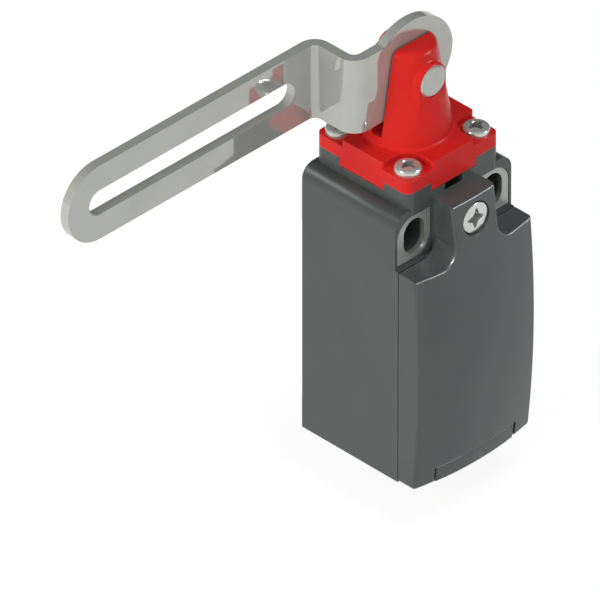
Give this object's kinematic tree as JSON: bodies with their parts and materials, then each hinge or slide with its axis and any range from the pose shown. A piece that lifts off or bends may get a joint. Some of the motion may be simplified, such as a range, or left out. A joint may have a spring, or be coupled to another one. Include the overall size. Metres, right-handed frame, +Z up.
{
  "type": "safety limit switch",
  "caption": "Safety limit switch with a slim grey housing, folding front cover, red forked head and a joggled, slotted steel lever that drives contacts inside.",
  "frame": {"origin": "centre of the conduit entry in the housing's bottom face", "axes": "+X towards the switch's right side seen from its cover, +Y towards the mounting face, +Z up from the conduit entry to the head"},
  "size_m": [0.0924, 0.0319, 0.0892],
  "materials": {
    "casing": "satin, finely textured grey moulding",
    "red_plastic": "semi-gloss red moulding",
    "steel": "smooth satin stainless steel",
    "plated_steel": "bright zinc plating",
    "spring_steel": "drawn wire",
    "rubber": "matt black",
    "plunger_plastic": "matt black moulding",
    "block_plastic": "matt ivory moulding",
    "contact_brass": "bare brass with silvered contacts"
  },
  "bodies": {
    "base": {"housing": "casing", "head": "red_plastic", "pivot_pin": "steel", "cover_hinge_pin": "steel", "fixing_plate_left": "plated_steel", "fixing_plate_right": "plated_steel", "head_screws": "plated_steel", "terminal_screws": "plated_steel", "clamp_plates": "plated_steel", "block_screw": "plated_steel", "return_spring": "spring_steel", "cover_gasket": "rubber", "head_gasket": "rubber", "plunger_seal": "rubber", "contact_block": "block_plastic", "contact_block_lid": "block_plastic", "nc_terminals": "contact_brass", "no_terminals": "contact_brass"},
    "lever": {"lever": "steel"},
    "plunger": {"plunger": "plunger_plastic", "contact_carrier": "plunger_plastic", "nc_bridge": "contact_brass", "no_bridge": "contact_brass", "contact_spring": "spring_steel"},
    "cover": {"front_cover": "casing", "cover_screw": "plated_steel"}
  },
  "joints": [
    {"name": "lever_swing", "type": "hinge", "parent": "base", "child": "lever", "pos_m": [0, 0, 0.0786], "axis": [0, 1, 0], "range_deg": [0, 90]},
    {"name": "plunger_stroke", "type": "slide", "parent": "base", "child": "plunger", "axis": [0, 0, -1], "range_m": [0, 0.002], "stiffness_N_per_m": 30, "springref_m": -0.005, "deforming": ["return_spring"]},
    {"name": "cover_fold", "type": "hinge", "parent": "base", "child": "cover", "pos_m": [0, -0.0163, 0.00175], "axis": [1, 0, 0], "range_deg": [0, 100]}
  ],
  "couplings": [
    {"joint": "plunger_stroke", "follows": "lever_swing", "m_per_rad": 0.0012732}
  ]
}
